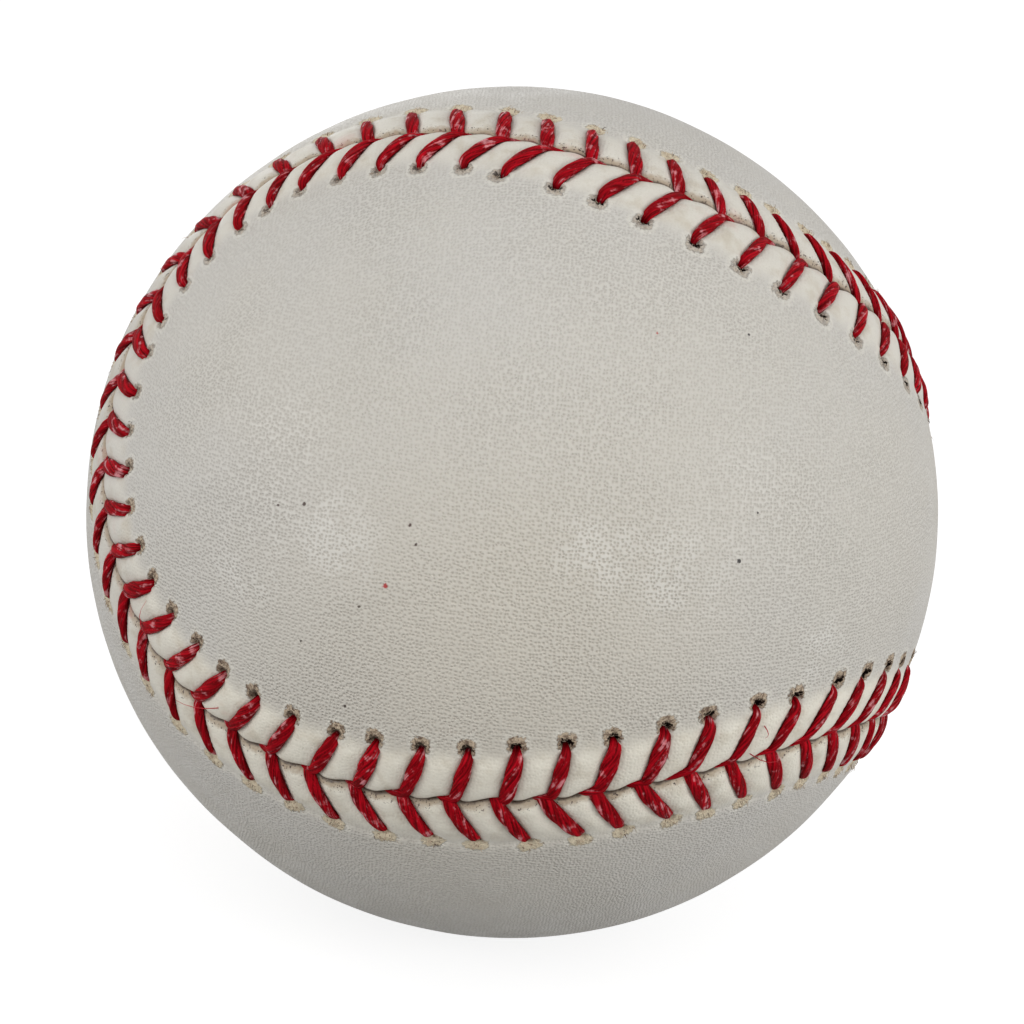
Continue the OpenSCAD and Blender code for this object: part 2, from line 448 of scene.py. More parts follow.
# rows past the holes, with every second place along the seam, and then every fourth
sparse_rows = ((2, (5.7, 6.0, 6.4)), (4, (6.9, 7.5)))
grain_rungs, flesh_rungs = 36, 6


def panel(name, side):
    """One cover panel as a closed mesh: rows that follow the seam, a ladder across the middle,
    the cut edge and the flesh side."""
    count = stitches * steps_per_stitch
    start = stitches * (1 if side < 0 else 3) / 8
    places, inwards, along, faces = [], [], [], []

    def ring(inward, height, every=1):
        """One row of places round the panel, with their numbers."""
        u = start + np.arange(0, count, every) / steps_per_stitch
        first = sum(len(p) for p in places)
        places.append(on_cover(u, np.full(len(u), inward), side, height))
        inwards.append(np.full(len(u), inward))
        along.append(u)
        return first + np.arange(len(u))

    def strips(a, b):
        """Faces between two rows. The second has as many places as the first, or half as many."""
        if len(a) == len(b):
            faces.extend(np.stack([a, np.roll(a, -1), np.roll(b, -1), b], 1).tolist())
            return
        a0, a1, a2 = a[::2], a[1::2], np.roll(a[::2], -1)
        b1 = np.roll(b, -1)
        for triple in ((a0, a1, b), (a1, a2, b1), (a1, b1, b)):
            faces.extend(np.stack(triple, 1).tolist())

    def ladder(loop, across, lift):
        """Fills a loop with rungs between its mirrored points."""
        total = len(loop)
        held = np.concatenate(places)[loop]
        held = held / np.linalg.norm(held, axis=1, keepdims=True)
        i = np.arange(1, total // 2)
        a, b = held[i], held[total - i]
        angle = np.arccos(np.clip((a * b).sum(1), -1, 1))[:, None, None]
        f = np.arange(1, across)[None, :, None] / across
        rungs = (a[:, None] * np.sin((1 - f) * angle) + b[:, None] * np.sin(f * angle)) / np.sin(angle)
        first = sum(len(p) for p in places)
        places.append(rungs.reshape(-1, 3) * lift)
        inwards.append(np.full(rungs.size // 3, far_off))
        along.append(np.repeat(start + i * count / total / steps_per_stitch, across - 1))
        grid = np.empty((len(i), across + 1), int)
        grid[:, 0], grid[:, -1] = loop[i], loop[total - i]
        grid[:, 1:-1] = first + np.arange(len(i) * (across - 1)).reshape(len(i), -1)
        quads = np.stack([grid[:-1, :-1], grid[1:, :-1], grid[1:, 1:], grid[:-1, 1:]], -1)
        faces.extend(quads.reshape(-1, 4).tolist())
        for end, row in ((loop[0], grid[0]), (loop[total // 2], grid[-1])):
            faces.extend([[end, row[j], row[j + 1]] for j in range(across)])

    u_all = start + np.arange(count) / steps_per_stitch
    last = flesh = ring(cut_edge_row, np.full(count, -leather_t))
    for inward in stitched_rows:
        d = np.full(count, inward)
        height, _ = leather_height(u_all, d, side)
        # each hole is a pit with a low rim, and a faint crease runs past the back holes
        off, out = from_hole(u_all, d, side, nearest_stitch(u_all, side))
        reach = np.hypot(off, out - 0.50) if side < 0 else np.hypot(off, out - 0.25) * 1.4
        pit, rim = np.exp(-((reach / 0.32) ** 2)), np.exp(-(((reach - 0.65) / 0.22) ** 2))
        height = height - 0.95 * pit + 0.08 * rim
        if side > 0:
            height = height - 0.07 * np.exp(-(((inward - 4.9) / 0.3) ** 2))
        new = ring(inward, height)
        strips(last, new)
        last = new
    for every, rows in sparse_rows:
        for inward in rows:
            new = ring(inward, np.zeros(count // every), every)
            strips(last, new)
            last = new
    ladder(last, grain_rungs, ball_r)
    grain_end = len(faces)
    ladder(flesh, flesh_rungs, ball_r - leather_t)
    place = np.concatenate(places)
    inward, u = np.concatenate(inwards), np.concatenate(along)
    # the unevenness of the hide on its grain side
    outside = np.linalg.norm(place, axis=1) > ball_r - leather_t + 0.1
    out = place / np.linalg.norm(place, axis=1, keepdims=True)
    uneven = 0.035 * waves(place, 9, 3) + 0.015 * waves(place, 3.2, 4)
    place = place + out * (uneven * outside)[:, None]
    mesh = bpy.data.meshes.new(name)
    mesh.from_pydata((place / 1000).tolist(), [], faces)
    # every face has to look out of the leather, so those that look into it are turned over
    lengths = np.array([len(f) for f in faces])
    corners = np.concatenate([np.asarray(f) for f in faces])
    starts = np.concatenate([[0], np.cumsum(lengths)[:-1]])
    middle = np.add.reduceat(place[corners], starts) / lengths[:, None]
    normals = np.empty(len(faces) * 3)
    mesh.polygons.foreach_get("normal", normals)
    wrong = (normals.reshape(-1, 3) * middle).sum(1) < 0
    want_in = np.arange(len(faces)) >= grain_end
    flip = np.where(wrong != want_in)[0]
    # the cut edge is judged by the rows beside it, which share its winding
    beside = bool(wrong[count * 6])
    for i in [i for i in flip if i >= count] + (list(range(count)) if beside else []):
        faces[i] = faces[i][::-1]
    mesh.clear_geometry()
    mesh.from_pydata((place / 1000).tolist(), [], faces)
    corners = np.concatenate([np.asarray(f) for f in faces])
    return mesh, place, u, inward, corners, lengths


grey_hide, yellow_hide = (0.605, 0.582, 0.540), (0.614, 0.586, 0.530)
held_hide, mottled_hide, pale_and_lit_hide = (0.620, 0.575, 0.490), (0.51, 0.48, 0.42), (0.83, 0.79, 0.68)
soil, pore_dirt_and_shade, pore_rim_highlight = (0.50, 0.43, 0.32), (0.33, 0.26, 0.21), (0.72, 0.70, 0.65)
glint_white, seam_band_tan = (0.95, 0.94, 0.90), (0.38, 0.28, 0.18)
edge_speck, seam_gap_shade = (0.05, 0.03, 0.03), (0.050, 0.028, 0.018)
stitch_shade, thread_dye = (0.20, 0.08, 0.065), (0.62, 0.22, 0.20)
pale_lip, hole_shade = (0.76, 0.73, 0.65), (0.010, 0.006, 0.005)
flesh_dark, flesh_light = (0.19, 0.12, 0.075), (0.62, 0.49, 0.35)
back_flesh_dark, back_flesh_light = (0.30, 0.20, 0.12), (0.76, 0.66, 0.48)
# the way from the centre to the place where the ball has been held most
held_way = (0.0, -0.995, -0.03)
# spots of painted highlight on the grain: the way to each from the centre and how far it reaches in mm
highlight_spots = (
    ((-0.3670, -0.9168, 0.1572), 5.5),
    ((0.1638, -0.9601, 0.2266), 5.0),
    ((0.3300, -0.9250, 0.1900), 6.0),
    ((0.6719, -0.7407, 0.0009), 4.0),
    ((-0.5409, -0.8376, 0.0765), 5.0),
)
# specks of dirt and two of dye, picked up in handling: the way to each, its size in mm and colour
dirt_specks = (
    ((0.4535, -0.8649, 0.2154), 0.17, (0.02, 0.015, 0.015)),
    ((0.4815, -0.8202, 0.3089), 0.10, (0.06, 0.05, 0.05)),
    ((-0.4952, -0.8445, 0.2038), 0.10, (0.10, 0.07, 0.06)),
    ((-0.4412, -0.8699, 0.2206), 0.12, (0.09, 0.06, 0.05)),
    ((-0.2209, -0.9481, 0.2289), 0.10, (0.08, 0.04, 0.03)),
    ((-0.2038, -0.9599, 0.1926), 0.09, (0.08, 0.05, 0.04)),
    ((-0.3030, -0.9519, 0.0442), 0.10, (0.10, 0.08, 0.06)),
    ((-0.4144, -0.9082, -0.0597), 0.10, (0.06, 0.05, 0.04)),
    ((-0.3085, -0.9342, -0.1790), 0.11, (0.07, 0.05, 0.04)),
    ((0.4248, -0.6430, 0.6373), 0.11, (0.04, 0.03, 0.03)),
    ((-0.2556, -0.9617, 0.0989), 0.18, (0.42, 0.03, 0.03)),
    ((0.2284, -0.7362, 0.6370), 0.13, (0.45, 0.08, 0.06)),
)


def white_leather():
    """The finish of both panels, from the grain of the hide to the torn leather at the holes."""
    material, tree, shader = start_material("white_leather")
    place = millimetres(tree)
    spot = add_node(tree, "SeparateXYZ", Vector=place)
    rightward, upward = spot.outputs[0], spot.outputs[2]
    inward = add_node(tree, "Attribute", {"attribute_name": "inward"}).outputs["Fac"]
    hole = add_node(tree, "Attribute", {"attribute_name": "hole_place"}).outputs["Vector"]
    hole = add_node(tree, "SeparateXYZ", Vector=hole)
    off, out, back = hole.outputs[0], hole.outputs[1], hole.outputs[2]

    def distance_to(way):
        """The distance in mm to a place on the ball, given as the way to it from the centre."""
        there = tuple(float(v) for v in np.array(way) * ball_r)
        return add_node(tree, "VectorMath", {"operation": "DISTANCE"}, i0=place, i1=there).outputs["Value"]

    # pores: close dimples, their bottoms painted brown as dirt and as painted shade, their rims painted
    # lighter as a painted highlight, finer in some places than in others
    pore_scale, pore_unevenness, pore_bend = 3.2, 0.62, 0.28
    grain = add_node(tree, "Attribute", {"attribute_name": "grain_place"}).outputs["Vector"]
    bend = add_node(tree, "TexNoise", Vector=place, Scale=1.2, Detail=2).outputs["Color"]
    bent = add_node(tree, "VectorMath", {"operation": "MULTIPLY_ADD"}, i0=bend, i1=(pore_bend,) * 3, i2=grain)
    cells = add_node(
        tree,
        "TexVoronoi",
        {"voronoi_dimensions": "2D"},
        Vector=bent.outputs[0],
        Scale=pore_scale,
        Randomness=pore_unevenness,
    )
    away = cells.outputs["Distance"]
    depth = add_node(tree, "SeparateColor", Color=cells.outputs["Color"]).outputs[0]
    depth = maths(tree, "MULTIPLY_ADD", depth, 0.6, 0.5)
    strength = rise(tree, clouds(tree, place, 10, 3), 0.36, 0.64, 0.7, 1)
    strength = maths(tree, "MULTIPLY", strength, rise(tree, inward, 4.2, 6.2, 0.3, 1))
    bottom = rise(tree, away, 0.05, 0.30, 1, 0)
    pore = maths(tree, "MULTIPLY", bottom, maths(tree, "MULTIPLY", strength, depth))
    rim = maths(tree, "MULTIPLY", rise(tree, away, 0.30, 0.58), strength)
    # the hide, greyer here and yellower there, and yellowed a little where the ball has been held
    hide = tint(tree, rise(tree, clouds(tree, place, 22, 3), 0.34, 0.66), grey_hide, yellow_hide)
    hide = tint(tree, rise(tree, distance_to(held_way), 4, 30, 0.8, 0), hide, held_hide)
    hide = tint(tree, rise(tree, clouds(tree, place, 1.3, 4), 0.3, 0.8, 0, 0.16), hide, mottled_hide)
    # the stretched strip from the seam to the holes is paler leather, with painted light that makes it
    # lighter still low on the ball, and weaker far on the left
    strip = maths(tree, "MULTIPLY_ADD", clouds(tree, place, 1.5, 3), 1.6, inward)
    pale_and_lit = rise(tree, upward, -12, 18, 0.95, 0.45)
    pale_and_lit = maths(tree, "MULTIPLY", pale_and_lit, rise(tree, strip, 4.2, 6.4, 1, 0))
    pale_and_lit = maths(tree, "MULTIPLY", pale_and_lit, rise(tree, rightward, -36, -20, 0.35, 1))
    # paler leather and painted light on the strip beside the seam
    hide = tint(tree, pale_and_lit, hide, pale_and_lit_hide)
    soiled = rise(tree, clouds(tree, place, 1.8, 4), 0.45, 0.75, 0, 0.5)
    soiled = maths(tree, "MULTIPLY", soiled, rise(tree, inward, 3.5, 5.5, 1, 0))
    hide = tint(tree, soiled, hide, soil)
    # painted shade and brown dirt in the pore bottoms, and a painted highlight on their rims
    hide = tint(tree, maths(tree, "MULTIPLY", pore, 0.30), hide, pore_dirt_and_shade)
    hide = tint(tree, maths(tree, "MULTIPLY", rim, 0.20), hide, pore_rim_highlight)
    # painted highlights: in these spots the ridges between the pores are painted lighter, as glints of the
    # lamps
    glint_reach = None
    for way, size in highlight_spots:
        near = rise(tree, distance_to(way), 0.2 * size, size, 1, 0)
        glint_reach = near if glint_reach is None else maths(tree, "MAXIMUM", glint_reach, near)
    glint_reach = maths(tree, "MULTIPLY", glint_reach, rise(tree, clouds(tree, place, 2.5, 3), 0.35, 0.6))
    painted_glitter = maths(tree, "MULTIPLY", glint_reach, rise(tree, away, 0.22, 0.45))
    hide = tint(tree, maths(tree, "MULTIPLY", painted_glitter, 0.22), hide, glint_white)
    # a tan band beside the seam, plain to see on the back panel, with specks, and painted shade in the gap of
    # the seam
    # a tan band 0.75 to 1.35 mm in from the seam, strongest on the back panel
    seam_band = maths(tree, "MULTIPLY_ADD", clouds(tree, place, 0.5, 3), 0.8, inward)
    band_shown = maths(tree, "MULTIPLY_ADD", back, 0.70, 0.08)
    seam_band = maths(tree, "MULTIPLY", rise(tree, seam_band, 0.75, 1.35, 1, 0), band_shown)
    hide = tint(tree, seam_band, hide, seam_band_tan)
    specks = rise(tree, clouds(tree, place, 0.20, 2, 0.5), 0.61, 0.66)
    specks = maths(tree, "MULTIPLY", specks, rise(tree, inward, 0.7, 1.2, 0.9, 0))
    hide = tint(tree, maths(tree, "MULTIPLY", specks, back), hide, edge_speck)
    # painted shade: the gap of the seam is darkened, as the shade between the two panels
    gap = maths(tree, "MULTIPLY_ADD", clouds(tree, place, 0.8, 3), -0.45, inward)
    hide = tint(tree, rise(tree, gap, -0.12, 0.12, 0.85, 0), hide, seam_gap_shade)
    # the bed of each stitch, with painted shade round and under the thread, and red that has come off it
    bed = add_node(tree, "Attribute", {"attribute_name": "bed"}).outputs["Fac"]
    hide = tint(tree, rise(tree, bed, 0.2, 0.7, 0, 0.5), hide, stitch_shade)
    dye = rise(tree, clouds(tree, place, 3.1, 3), 0.57, 0.72)
    dye = maths(tree, "MULTIPLY", dye, rise(tree, inward, 0.4, 2.8, 0.28, 0))
    hide = tint(tree, dye, hide, thread_dye)
    # torn leather drawn out of each needle hole, and painted shade in the hole
    ragged = add_node(tree, "TexNoise", Vector=place, Scale=3.2, Detail=4, Roughness=0.65).outputs["Color"]
    ragged = add_node(tree, "SeparateColor", Color=ragged)
    off = maths(tree, "ADD", maths(tree, "SUBTRACT", ragged.outputs[0], 0.5), off)
    out = maths(tree, "ADD", maths(tree, "SUBTRACT", ragged.outputs[1], 0.5), out)

    def patch(off_half, out_middle, out_half):
        """Four-cornered distance from a place beyond the hole, 1 at the rim of the patch. Each
        pair of numbers is for the front panel and for the back one."""
        total = None
        for value, middle, half in ((off, (0.0, 0.0), off_half), (out, out_middle, out_half)):
            middle = maths(tree, "MULTIPLY_ADD", back, middle[1] - middle[0], middle[0])
            half = maths(tree, "MULTIPLY_ADD", back, half[1] - half[0], half[0])
            part = maths(tree, "DIVIDE", maths(tree, "SUBTRACT", value, middle), half)
            part = maths(tree, "POWER", maths(tree, "ABSOLUTE", part), 3)
            total = part if total is None else maths(tree, "ADD", total, part)
        return total

    edge = patch(off_half=(0.76, 0.98), out_middle=(0.96, 0.66), out_half=(0.82, 0.60))
    torn = rise(tree, edge, 0.7, 1.25, 1, 0)
    lip = maths(tree, "MULTIPLY", rise(tree, edge, 0.8, 1.3), rise(tree, edge, 1.6, 4.5, 0.5, 0))
    hide = tint(tree, lip, hide, pale_lip)
    tufts = clouds(tree, place, 0.32, 4, 0.7)
    flesh = tint(tree, rise(tree, tufts, 0.42, 0.56), flesh_dark, flesh_light)
    back_flesh = tint(tree, rise(tree, tufts, 0.34, 0.46), back_flesh_dark, back_flesh_light)
    # the front tears are weaker high on the ball, and the painted shade of their holes weaker on its left
    shown = maths(tree, "MAXIMUM", back, rise(tree, upward, -2, 20, 1, 0.45))
    shown = maths(tree, "MULTIPLY", torn, maths(tree, "MULTIPLY", shown, 0.92))
    hide = tint(tree, shown, hide, tint(tree, back, flesh, back_flesh))
    # painted shade: each needle hole is darkened nearly to black
    dark = patch(off_half=(0.50, 0.34), out_middle=(0.78, 0.16), out_half=(0.46, 0.16))
    dark = rise(tree, dark, 0.7, 1.15, 1, 0)
    dark = maths(tree, "MULTIPLY", dark, maths(tree, "MAXIMUM", back, rise(tree, rightward, -16, 4, 0.6, 1)))
    hide = tint(tree, dark, hide, hole_shade)
    for way, size, colour in dirt_specks:
        gap = maths(tree, "MULTIPLY_ADD", maths(tree, "SUBTRACT", tufts, 0.5), 0.5, distance_to(way))
        hide = tint(tree, rise(tree, gap, 0.6 * size, 1.3 * size, 0.95, 0), hide, colour)
    join(tree, hide, shader.inputs["Base Color"])
    join(tree, maths(tree, "MULTIPLY_ADD", dark, -0.35, 0.35), shader.inputs["Specular IOR Level"])
    sheen = rise(tree, clouds(tree, place, 4.5, 3), 0.35, 0.7, 0.48, 0.32)
    join(tree, maths(tree, "MULTIPLY_ADD", torn, 0.4, sheen, clamp=True), shader.inputs["Roughness"])
    # relief: dimples, fading on the stretched strip beside the seam, and the torn leather
    relief = maths(tree, "MULTIPLY", rise(tree, away, 0, 0.55), strength)
    relief = maths(tree, "MULTIPLY_ADD", clouds(tree, place, 0.9, 4, 0.6), 0.5, relief)
    relief = maths(tree, "MULTIPLY_ADD", torn, maths(tree, "MULTIPLY", tufts, 3), relief)
    bump = add_node(tree, "Bump", Height=relief, Strength=0.8, Distance=0.00010)
    join(tree, bump.outputs[0], shader.inputs["Normal"])
    return material


leather = white_leather()
for name, side in (("cover_panel_front", -1), ("cover_panel_back", 1)):
    mesh, place, u, inward, corners, lengths = panel(name + "_leather", side)
    mesh.attributes.new("inward", "FLOAT", "POINT").data.foreach_set("value", inward.astype(np.float32))
    _, bed = leather_height(u, inward, side)
    mesh.attributes.new("bed", "FLOAT", "POINT").data.foreach_set("value", bed.astype(np.float32))
    starts = np.concatenate([[0], np.cumsum(lengths)[:-1]])
    face_u = np.add.reduceat(u[corners], starts) / lengths
    face_in = np.add.reduceat(inward[corners], starts) / lengths
    k = np.repeat(nearest_stitch(face_u, side), lengths)
    off, out = from_hole(u[corners], inward[corners], side, k)
    hole_place = np.stack([off, out, np.full(len(off), side > 0)], 1)
    hole_place[np.repeat(face_in > far_off - 1, lengths)] = (far_off, far_off, side > 0)
    # a flat place on the grain for the pores: six views of the ball, each in its own part
    axis_apart, half_apart = 80, 300
    middle = np.add.reduceat(place[corners], starts) / lengths[:, None]
    axis = np.repeat(np.abs(middle).argmax(1), lengths)
    ways = place[corners] / np.linalg.norm(place[corners], axis=1, keepdims=True)
    facing = ways[np.arange(len(axis)), axis]
    spread = ball_r * np.sqrt(2 / (1 + np.abs(facing)))
    first = np.where(axis == 0, ways[:, 1], ways[:, 0]) * spread
    first = first + axis_apart * axis + half_apart * (facing > 0)
    second = np.where(axis == 2, ways[:, 1], ways[:, 2]) * spread
    grain_place = np.stack([first, second, np.zeros(len(first))], 1)
    for key, value in (("hole_place", hole_place), ("grain_place", grain_place)):
        data = mesh.attributes.new(key, "FLOAT_VECTOR", "CORNER").data
        data.foreach_set("vector", value.astype(np.float32).ravel())
    mesh.materials.append(leather)
    mesh.polygons.foreach_set("use_smooth", np.ones(len(mesh.polygons), bool))
    piece = bpy.data.objects.new(name + "_leather", mesh)
    bpy.context.scene.collection.objects.link(piece)
    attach(piece, "root")
    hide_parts(name)

# Stitching. Waxed red cotton thread of several plies, sewn by hand with two needles that cross
# under the leather at every stitch, so each thread lies on the two panels in turn.
ply_dark, ply_red, groove_shade_red = (0.12, 0.0006, 0.0018), (0.52, 0.004, 0.014), (0.05, 0.0004, 0.001)
deep_red, glint_pink, end_shade_red = (0.20, 0.001, 0.004), (0.80, 0.30, 0.33), (0.030, 0.001, 0.003)


def red_thread():
    """Dyed cotton plies, with painted shade in the grooves, on the low sides and where the thread goes down,
    and painted glints on its wax.
    """
    material, tree, shader = start_material("red_thread")
    place = millimetres(tree)
    strand = add_node(tree, "Attribute", {"attribute_name": "strand"}).outputs["Vector"]
    parts = add_node(tree, "SeparateXYZ", Vector=strand)
    crest, end, shade = parts.outputs[0], parts.outputs[1], parts.outputs[2]
    fibre_place = add_node(tree, "Attribute", {"attribute_name": "fibre_place"}).outputs["Vector"]
    fibres = clouds(tree, fibre_place, 1.0, 4, 0.65)
    colour = tint(tree, rise(tree, fibres, 0.36, 0.64), ply_dark, ply_red)
    # painted shade in the grooves between the plies and on the low sides of the thread
    colour = tint(tree, rise(tree, crest, 0.0, 0.65, 0.85, 0), colour, groove_shade_red)
    colour = tint(tree, maths(tree, "MULTIPLY", shade, 0.3), colour, deep_red)
    wax_and_glint = maths(tree, "MULTIPLY", clouds(tree, place, 1.1, 3, 0.6), 0.5)
    wax_and_glint = maths(tree, "MULTIPLY_ADD", clouds(tree, fibre_place, 2.2, 4, 0.7), 0.5, wax_and_glint)
    wax_and_glint = rise(tree, wax_and_glint, 0.53, 0.64)
    # painted glints: the waxed patches are painted pale pink as highlights; the same mask makes them glossier
    colour = tint(tree, maths(tree, "MULTIPLY", wax_and_glint, 0.8), colour, glint_pink)
    # painted shade where the thread goes down into its hole
    colour = tint(tree, rise(tree, end, 0.0, 0.45, 0.9, 0), colour, end_shade_red)
    join(tree, colour, shader.inputs["Base Color"])
    join(tree, maths(tree, "MULTIPLY_ADD", wax_and_glint, -0.3, 0.55), shader.inputs["Roughness"])
    join(tree, maths(tree, "MULTIPLY_ADD", wax_and_glint, 0.5, 0.04), shader.inputs["Specular IOR Level"])
    height = maths(tree, "MULTIPLY_ADD", fibres, 0.7, maths(tree, "MULTIPLY", crest, 0.5))
    bump = add_node(tree, "Bump", Height=height, Strength=0.8, Distance=0.00012)
    join(tree, bump.outputs[0], shader.inputs["Normal"])
    return material


thread = red_thread()
around = 24
plies = 4
twist_per_mm = 0.62
groove_depth = 0.20
fibre_lay, fibre_stretch, fibre_apart = 3.2, 0.5, 7


def needle_run(name, node_name, first):
    """All the stitches of one needle as a single mesh."""
    points, faces, strand, fibre = [], [], [], []
    for side in (-1, 1):
        for k in range(first if side < 0 else 1 - first, stitches, 2):
            line = stitch_lines[side][k]
            u = k + first_hole_share + line[:, 0] / spacing
            core = on_cover(u, line[:, 1], side, line[:, 2])
            ahead = np.gradient(core, axis=0)
            ahead /= np.linalg.norm(ahead, axis=1, keepdims=True)
            out = core / np.linalg.norm(core, axis=1, keepdims=True)
            beside = np.cross(ahead, out)
            beside /= np.linalg.norm(beside, axis=1, keepdims=True)
            up = np.cross(beside, ahead)
            run = np.concatenate([[0], np.cumsum(np.linalg.norm(np.diff(core, axis=0), axis=1))])
            angle = np.arange(around) * 2 * np.pi / around
            turn = stitch_turns[side][k] * np.pi + run[:, None] * twist_per_mm
            ply = np.abs(np.sin(plies / 2 * (angle[None] + turn))) ** 0.7
            swell = 1 - groove_depth + groove_depth * ply
            wide = line[:, 3:4] * np.cos(angle) * swell
            high = line[:, 4:5] * np.sin(angle) * swell
            ring = core[:, None] + beside[:, None] * wide[..., None] + up[:, None] * high[..., None]
            base = len(points) * len(line) * around
            points.append(ring.reshape(-1, 3))
            i = np.arange(len(line) - 1)[:, None] * around
            j = np.arange(around)[None]
            a, b = base + i + j, base + i + (j + 1) % around
            faces.extend(np.stack([a, a + around, b + around, b], -1).reshape(-1, 4).tolist())
            faces.append([base + n for n in range(around)])
            faces.append([base + (len(line) - 1) * around + n for n in reversed(range(around))])
            # for the finish: crests of the plies away from the leather (the rest gets painted shade), the way
            # to the nearer end (painted shade where it goes down), and a tone of its own
            near_end = np.minimum(run, run[-1] - run)[:, None] * np.ones(around)
            tone = np.full((len(line), around), stitch_turns[-side][k])
            bare = np.clip((np.sin(angle) + 0.35) / 0.8, 0, 1)
            strand.append(np.stack([ply * bare, near_end, tone], -1).reshape(-1, 3))
            # and a place for the noise that runs along the twisted fibres
            lay = angle[None] + turn
            along = run[:, None] * fibre_stretch + fibre_apart * k + 0 * lay
            lay_place = np.stack([np.cos(lay) * fibre_lay, np.sin(lay) * fibre_lay, along], -1)
            fibre.append(lay_place.reshape(-1, 3))
    mesh = bpy.data.meshes.new(name)
    mesh.from_pydata((np.concatenate(points) / 1000).tolist(), [], faces)
    for key, value in (("strand", strand), ("fibre_place", fibre)):
        data = mesh.attributes.new(key, "FLOAT_VECTOR", "POINT").data
        data.foreach_set("vector", np.concatenate(value).astype(np.float32).ravel())
    mesh.materials.append(thread)
    mesh.polygons.foreach_set("use_smooth", np.ones(len(mesh.polygons), bool))
    piece = bpy.data.objects.new(name, mesh)
    bpy.context.scene.collection.objects.link(piece)
    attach(piece, "root")
    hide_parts(node_name)


needle_run("first_needle_stitches", "thread_first_needle", 0)
needle_run("second_needle_stitches", "thread_second_needle", 1)

# Stray fibres. A few ends of single red cotton fibres have worked loose from the two threads.
# One end of each is still twisted into its stitch, and the other stands out beside it.


def hairs(name, seed, roots, ways, ups, lengths, radius, tones):
    """Short tapered bent fibres, as one mesh."""
    rings, sides = 5, 3
    rise_share, bend_share, taper = 0.35, 0.35, 0.8
    f = np.linspace(0, 1, rings)[None, :, None]
    draw = np.random.default_rng(seed)
    bend = draw.normal(0, bend_share, (len(roots), 1, 3))
    core = roots[:, None] + ways[:, None] * f * lengths[:, None, None]
    core = core + (ups[:, None] * rise_share * (f - f * f) * 4 + bend * f * f) * lengths[:, None, None]
    beside = np.cross(ways, ups)
    beside /= np.linalg.norm(beside, axis=1, keepdims=True)
    angle = np.arange(sides) * 2 * np.pi / sides
    thin = radius[:, None, None, None] * (1 - taper * f[..., None])
    ring = core[:, :, None] + thin * (
        beside[:, None, None] * np.cos(angle)[None, None, :, None]
        + ups[:, None, None] * np.sin(angle)[None, None, :, None]
    )
    base = (np.arange(len(roots)) * rings * sides)[:, None, None]
    i = np.arange(rings - 1)[None, :, None] * sides
    j = np.arange(sides)[None, None]
    a, b = base + i + j, base + i + (j + 1) % sides
    faces = np.stack([a, b, b + sides, a + sides], -1).reshape(-1, 4).tolist()
    ends = (base[:, 0, 0]).tolist()
    faces += [[e, e + 2, e + 1] for e in ends]
    faces += [[e + (rings - 1) * sides + n for n in range(sides)] for e in ends]
    mesh = bpy.data.meshes.new(name)
    mesh.from_pydata((ring.reshape(-1, 3) / 1000).tolist(), [], faces)
    tone = np.repeat(tones, rings * sides).astype(np.float32)
    mesh.attributes.new("tone", "FLOAT", "POINT").data.foreach_set("value", tone)
    piece = bpy.data.objects.new(name, mesh)
    bpy.context.scene.collection.objects.link(piece)
    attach(piece, "root")
    return mesh


def fibre_finish(name, pale, dark):
    """Dull fibres, each of a tone between pale and dark."""
    material, tree, shader = start_material(name)
    tone = add_node(tree, "Attribute", {"attribute_name": "tone"}).outputs["Fac"]
    tone = maths(tree, "MULTIPLY_ADD", clouds(tree, millimetres(tree), 0.3), 0.3, tone, clamp=True)
    join(tree, tint(tree, tone, pale, dark), shader.inputs["Base Color"])
    shader.inputs["Roughness"].default_value = 0.8
    return material


# each fibre's root and tip, as the count of stitches along the seam and the mm inward, then its
# panel and how high its tip stands over the leather
loose = [
    (8.69, 1.64, 8.87, 3.25, -1, 0.7),
    (104.31, 3.27, 104.27, 2.55, -1, 0.3),
    (102.12, 3.18, 102.00, 2.10, -1, 0.3),
    (102.37, 0.96, 101.83, -0.46, -1, 0.5),
    (6.10, 1.60, 6.75, 1.10, -1, 0.3),
    (90.30, 1.20, 90.95, 0.90, 1, 0.4),
    (87.20, 1.10, 87.75, 1.60, 1, 0.4),
]
root_height, fibre_r, fibre_tone = 0.30, 0.055, 0.3
roots = np.array([on_cover(u0, in0, side, root_height) for u0, in0, _, _, side, _ in loose])
tips = np.array([on_cover(u1, in1, side, lift) for _, _, u1, in1, side, lift in loose])
lengths = np.linalg.norm(tips - roots, axis=1)
mesh = hairs(
    "stray_fibres",
    12,
    roots,
    (tips - roots) / lengths[:, None],
    roots / np.linalg.norm(roots, axis=1, keepdims=True),
    lengths,
    np.full(len(loose), fibre_r),
    np.full(len(loose), fibre_tone),
)
mesh.materials.append(fibre_finish("loose_fibre", pale=(0.52, 0.02, 0.03), dark=(0.35, 0.01, 0.015)))

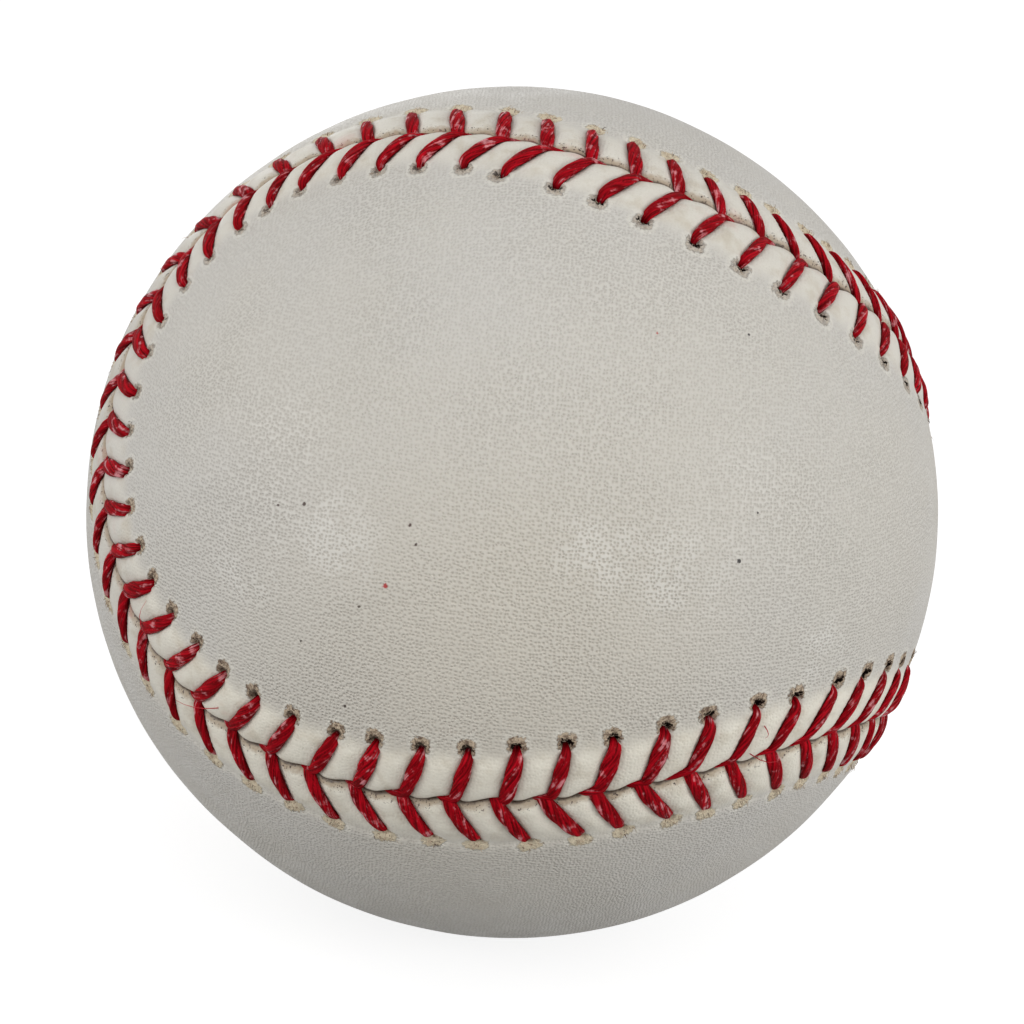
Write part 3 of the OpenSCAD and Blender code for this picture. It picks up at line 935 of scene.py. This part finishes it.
# Frayed leather. The needle drags short fibres of the raw hide out of each hole. They stand
# round its far side, tan to dark brown, and cling to the cover they are torn from.
lie_length, root_sink = 0.3, 0.02
roots, ways, tones = [], [], []
for side in (-1, 1):
    for k in range(stitches):
        line, tear = stitch_lines[side][k], stitch_tears[side][k]
        many = 9 if side < 0 else 12
        out = hand.uniform(1.0 if side < 0 else 0.4, 1.45 if side < 0 else 1.15, many)
        off = hand.normal(0, 0.24 if side < 0 else 0.40, many)
        turn = hand.normal(0, 0.8 if side < 0 else 0.4, many)
        x0 = line[at_hole, 0] + out * tear[0] + off * tear[1]
        y0 = line[at_hole, 1] + out * tear[1] - off * tear[0]
        x1 = x0 + lie_length * (np.cos(turn) * tear[0] + np.sin(turn) * tear[1])
        y1 = y0 + lie_length * (np.cos(turn) * tear[1] - np.sin(turn) * tear[0])
        root = on_cover(k + first_hole_share + x0 / spacing, y0, side, np.full(many, -root_sink))
        tip = on_cover(k + first_hole_share + x1 / spacing, y1, side, np.full(many, 0.0))
        roots.append(root)
        ways.append((tip - root) / np.linalg.norm(tip - root, axis=1, keepdims=True))
        tones.append(hand.uniform(0, 1, many) ** (1.3 if side < 0 else 5))
ups = [root / np.linalg.norm(root, axis=1, keepdims=True) for root in roots]
roots, ways, ups = np.concatenate(roots), np.concatenate(ways), np.concatenate(ups)
many = len(roots)
mesh = hairs(
    "frayed_leather",
    14,
    roots,
    ways,
    ups,
    hand.uniform(0.15, 0.45, many),
    hand.uniform(0.020, 0.045, many),
    np.concatenate(tones),
)
mesh.materials.append(fibre_finish("torn_leather", pale=(0.64, 0.51, 0.37), dark=(0.07, 0.035, 0.025)))

# Studio. The ball stands on a wide pale floor in a plain white room. A large soft lamp hangs in
# front, three more stand to the sides and behind, and two small ones make the highlights.
floor_reach, floor_grey, floor_glow, glow_in_gloss = 4.0, 0.34, 0.82, 0.5
room_light, room_shown = 0.62, 0.38
visual_low, visual_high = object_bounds()
low = visual_low[2]
floor_mesh = bpy.data.meshes.new("studio_floor")
floor_corners = [(x * floor_reach, y * floor_reach, low) for x, y in ((-1, -1), (1, -1), (1, 1), (-1, 1))]
floor_mesh.from_pydata(floor_corners, [], [(0, 1, 2, 3)])
floor = bpy.data.objects.new("studio_floor", floor_mesh)
bpy.context.scene.collection.objects.link(floor)
material, tree, shader = start_material("studio_floor")
seen = add_node(tree, "LightPath")
show = maths(tree, "MULTIPLY", seen.outputs["Is Glossy Ray"], glow_in_gloss)
show = maths(tree, "MAXIMUM", seen.outputs["Is Camera Ray"], show)
shader.inputs["Base Color"].default_value = (floor_grey, floor_grey, floor_grey, 1)
shader.inputs["Roughness"].default_value = 0.9
shader.inputs["Specular IOR Level"].default_value = 0.0
join(tree, maths(tree, "MULTIPLY", show, floor_glow), shader.inputs["Emission Strength"])
shader.inputs["Emission Color"].default_value = (1, 1, 1, 1)
floor_mesh.materials.append(material)

world = bpy.data.worlds.new("studio_world")
bpy.context.scene.world = world
world.use_nodes = True
tree = world.node_tree
backdrop = tree.nodes["Background"]
seen = add_node(tree, "LightPath")
show = maths(tree, "MAXIMUM", seen.outputs["Is Camera Ray"], seen.outputs["Is Transmission Ray"])
join(tree, maths(tree, "MULTIPLY_ADD", show, room_shown, room_light), backdrop.inputs["Strength"])
backdrop.inputs["Color"].default_value = (1, 1, 1, 1)


def lamp(name, place, size, power):
    """A round soft lamp that shines on the ball. Metres and watts."""
    light = bpy.data.lights.new(name, "AREA")
    light.shape = "DISK"
    light.size = size
    light.energy = power
    made = bpy.data.objects.new(name, light)
    bpy.context.scene.collection.objects.link(made)
    made.location = place
    made.rotation_euler = (-Vector(place)).to_track_quat("-Z", "Y").to_euler()


lamp("key_lamp", (0.18, -0.75, 0.60), size=0.80, power=1.3)
lamp("right_lamp", (0.90, -0.40, 0.25), size=0.40, power=3.1)
lamp("left_lamp", (-0.90, -0.35, 0.25), size=0.40, power=2.3)
lamp("back_lamp", (-0.25, 0.98, 0.10), size=0.60, power=0.9)
lamp("right_window", (0.42, -0.92, 0.10), size=0.10, power=0.35)
lamp("left_window", (-0.76, -0.64, 0.16), size=0.10, power=0.8)

# Camera. It stands in front of the ball, a little above it, with a long lens, and is turned as
# the ball was held.
camera_away = 6.27
view_back = Vector((-0.0217, -0.9580, 0.2858)).normalized()
view_up = Vector((-0.1261, 0.2862, 0.9498))
view_right = view_up.cross(view_back).normalized()
view_up = view_back.cross(view_right)
camera_data = bpy.data.cameras.new("camera")
camera_data.sensor_width = 36
camera_data.lens = 92.75
camera_data.clip_start = 0.01
camera = bpy.data.objects.new("camera", camera_data)
bpy.context.scene.collection.objects.link(camera)
turned = Matrix((view_right, view_up, view_back)).transposed().to_4x4()
camera.matrix_world = Matrix.Translation(view_back * camera_away * ball_r / 1000) @ turned
bpy.context.scene.camera = camera
bpy.context.scene.view_settings.view_transform = "Standard"
